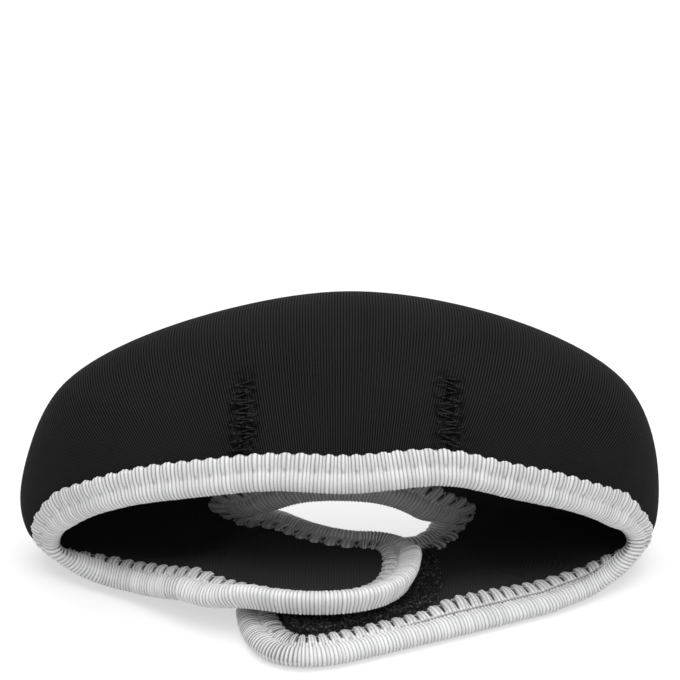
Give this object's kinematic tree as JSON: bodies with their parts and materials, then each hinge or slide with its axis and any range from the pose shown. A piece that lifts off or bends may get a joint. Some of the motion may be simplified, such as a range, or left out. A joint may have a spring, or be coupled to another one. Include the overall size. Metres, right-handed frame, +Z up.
{
  "type": "lens cover",
  "caption": "Soft neoprene wrap-round lens cover: a domed crown with a ribbed binding round its wide mouth and small hole, closed underneath by overlapping hook-and-loop tabs.",
  "frame": {"origin": "under the middle of the cover's bounding box, on the table it lies on", "axes": "+X to the right across the mouth, +Y from the mouth to the back, +Z up"},
  "size_m": [0.1604, 0.0756, 0.071],
  "materials": {
    "knit_face": "matte ribbed knit",
    "foam": "matte closed-cell foam",
    "knit_lining": "matte fine knit",
    "binding": "ribbed elastic tape",
    "hook": "fine stiff hooks",
    "loop": "brushed loop pile",
    "thread": "twisted thread"
  },
  "bodies": {
    "crown": {"crown_face": "knit_face", "crown_core": "foam", "crown_lining": "knit_lining", "mouth_binding": "binding", "hole_binding": "binding", "left_dart_thread": "thread", "right_dart_thread": "thread"},
    "left_tab": {"left_tab_face": "knit_face", "left_tab_core": "foam", "left_tab_lining": "knit_lining", "left_tab_binding": "binding", "hook_patch": "hook"},
    "right_tab": {"right_tab_face": "knit_face", "right_tab_core": "foam", "right_tab_lining": "knit_lining", "right_tab_binding": "binding", "loop_patch": "loop"}
  },
  "joints": [
    {"name": "left_tab_lift", "type": "hinge", "parent": "crown", "child": "left_tab", "pos_m": [-0.02583, 0.00577, 0.01225], "axis": [-0.5442, -0.839, 0], "range_deg": [0, 25]},
    {"name": "right_tab_swing", "type": "hinge", "parent": "crown", "child": "right_tab", "pos_m": [0.03617, 0.00777, 0], "axis": [0.7182, -0.6958, 0], "range_deg": [0, 120]}
  ]
}
